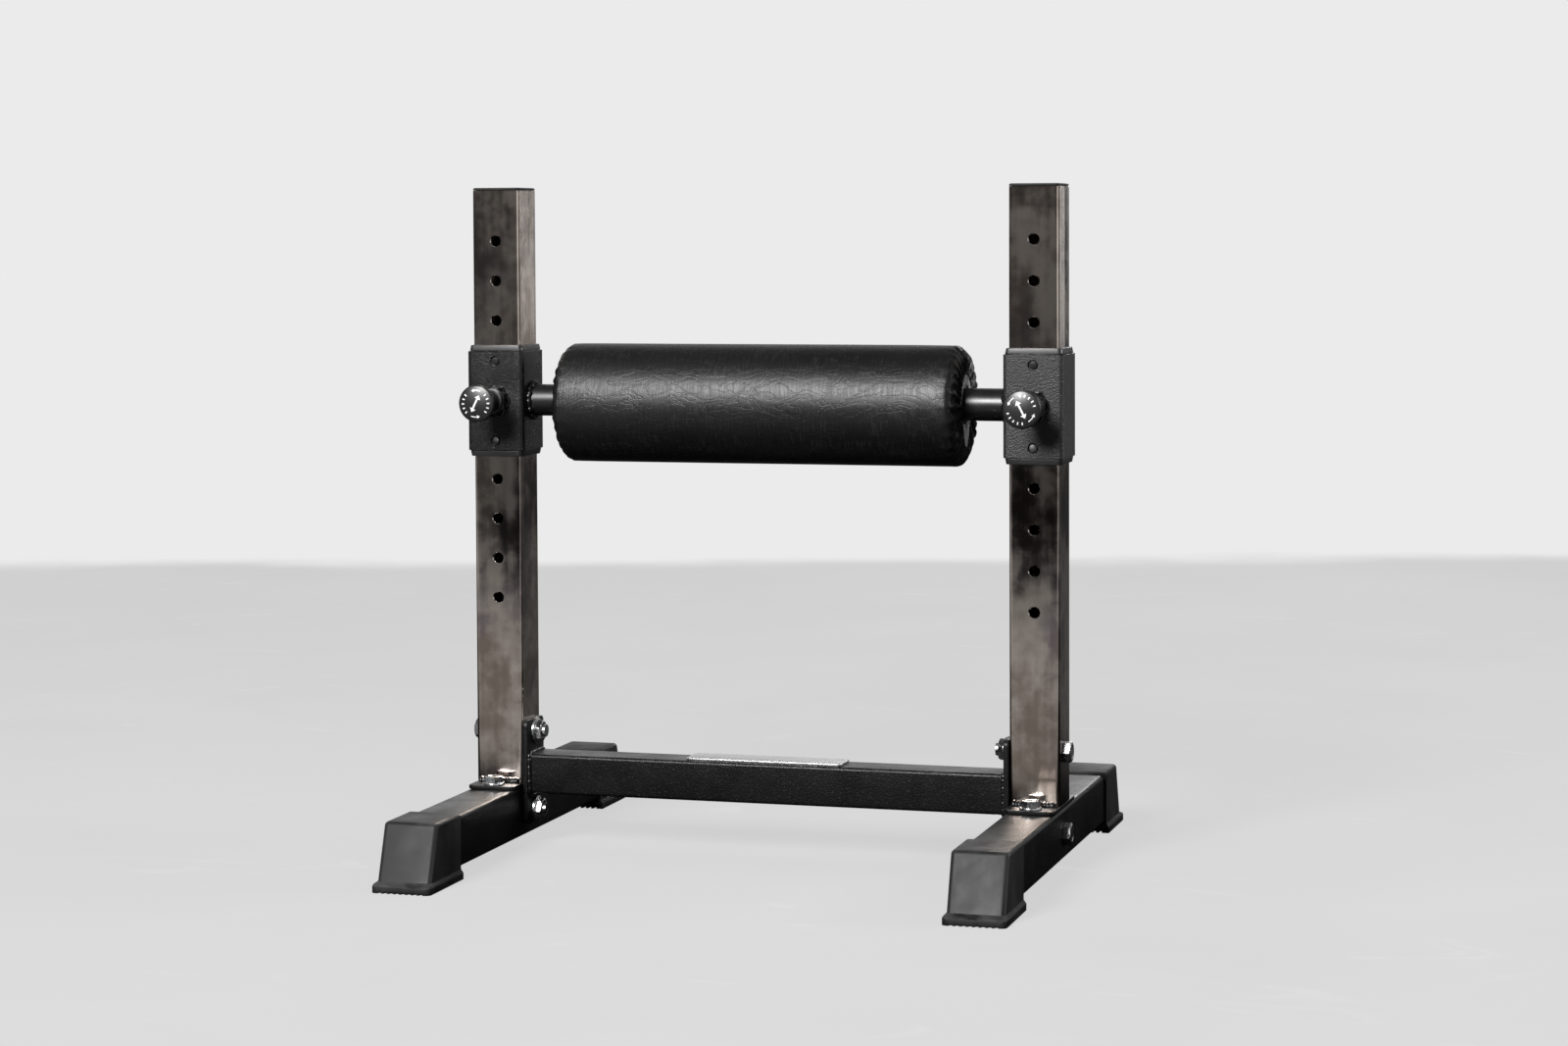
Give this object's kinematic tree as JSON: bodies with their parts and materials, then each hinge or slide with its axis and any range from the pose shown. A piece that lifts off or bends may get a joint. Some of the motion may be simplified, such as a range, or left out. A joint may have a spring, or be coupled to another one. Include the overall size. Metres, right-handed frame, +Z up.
{
  "type": "split squat stand",
  "caption": "Floor stand with two square uprights, a low crossbar and a padded roller on pinned sleeves that slides up and down for split squats.",
  "frame": {"origin": "on the floor, midway between the two uprights", "axes": "+Z up; +X along the crossbar to the stand's right as seen from the front; -Y is the front, where the pull pins are"},
  "size_m": [0.6186, 0.568, 0.6663],
  "materials": {
    "cleared_steel": "bare steel under clear coat, mottled brown and grey",
    "black_powder": "black powder coat with a fine grain, satin",
    "black_gloss": "smooth black, glossy",
    "foot_rubber": "matte moulded rubber",
    "black_plastic": "smooth moulded plastic, half gloss",
    "zinc": "bright zinc plate",
    "spring_steel": "plain spring wire",
    "badge": "satin silver, bare",
    "cover_leather": "black imitation leather with a fine grain, satin",
    "foam": "pale grey foam",
    "core_tube": "plain grey tube"
  },
  "bodies": {
    "frame": {"left_upright": "cleared_steel", "right_upright": "cleared_steel", "left_upright_cap": "black_plastic", "right_upright_cap": "black_plastic", "left_base_plate": "black_powder", "right_base_plate": "black_powder", "left_foot_tube": "black_powder", "right_foot_tube": "black_powder", "left_front_foot_cover": "foot_rubber", "left_rear_foot_cover": "foot_rubber", "right_front_foot_cover": "foot_rubber", "right_rear_foot_cover": "foot_rubber", "left_front_plate_bolt": "zinc", "left_rear_plate_bolt": "zinc", "right_front_plate_bolt": "zinc", "right_rear_plate_bolt": "zinc", "left_front_plate_washer": "zinc", "left_rear_plate_washer": "zinc", "right_front_plate_washer": "zinc", "right_rear_plate_washer": "zinc", "left_front_plate_weld_nut": "zinc", "left_rear_plate_weld_nut": "zinc", "right_front_plate_weld_nut": "zinc", "right_rear_plate_weld_nut": "zinc", "crossbar_tube": "black_powder", "badge_plate": "badge", "left_crossbar_plate": "black_powder", "right_crossbar_plate": "black_powder", "left_upper_crossbar_bolt": "zinc", "left_lower_crossbar_bolt": "zinc", "right_upper_crossbar_bolt": "zinc", "right_lower_crossbar_bolt": "zinc", "left_upper_crossbar_washer": "zinc", "left_lower_crossbar_washer": "zinc", "right_upper_crossbar_washer": "zinc", "right_lower_crossbar_washer": "zinc", "left_upper_crossbar_acorn_nut": "zinc", "left_lower_crossbar_acorn_nut": "zinc", "right_upper_crossbar_acorn_nut": "zinc", "right_lower_crossbar_acorn_nut": "zinc"},
    "carriage": {"left_sleeve": "black_powder", "right_sleeve": "black_powder", "left_upper_bushing": "black_plastic", "left_lower_bushing": "black_plastic", "right_upper_bushing": "black_plastic", "right_lower_bushing": "black_plastic", "roller_shaft": "black_gloss", "left_pin_weld_nut": "black_powder", "right_pin_weld_nut": "black_powder", "left_pin_barrel": "black_gloss", "right_pin_barrel": "black_gloss", "left_pin_spring": "spring_steel", "right_pin_spring": "spring_steel"},
    "roller": {"roller_core": "core_tube", "roller_foam": "foam", "roller_cover": "cover_leather"},
    "left_pin": {"left_plunger_pin": "zinc"},
    "right_pin": {"right_plunger_pin": "zinc"},
    "left_pin_knob": {"left_knob": "black_plastic"},
    "right_pin_knob": {"right_knob": "black_plastic"}
  },
  "joints": [
    {"name": "carriage_slide", "type": "slide", "parent": "frame", "child": "carriage", "axis": [0, 0, 1], "range_m": [-0.2, 0.16]},
    {"name": "roller_spin", "type": "hinge", "parent": "carriage", "child": "roller", "pos_m": [0, 0, 0.4501], "axis": [1, 0, 0], "continuous": true},
    {"name": "left_pin_slide", "type": "slide", "parent": "carriage", "child": "left_pin", "axis": [0, 1, 0], "range_m": [0, 0.014], "stiffness_N_per_m": 250, "springref_m": 0.03, "deforming": ["left_pin_spring"]},
    {"name": "right_pin_slide", "type": "slide", "parent": "carriage", "child": "right_pin", "axis": [0, 1, 0], "range_m": [0, 0.014], "stiffness_N_per_m": 250, "springref_m": 0.03, "deforming": ["right_pin_spring"]},
    {"name": "left_knob_turn", "type": "hinge", "parent": "left_pin", "child": "left_pin_knob", "pos_m": [-0.2765, -0.08, 0.4519], "axis": [0, 1, 0], "continuous": true},
    {"name": "right_knob_turn", "type": "hinge", "parent": "right_pin", "child": "right_pin_knob", "pos_m": [0.2765, -0.08, 0.4519], "axis": [0, 1, 0], "continuous": true}
  ]
}
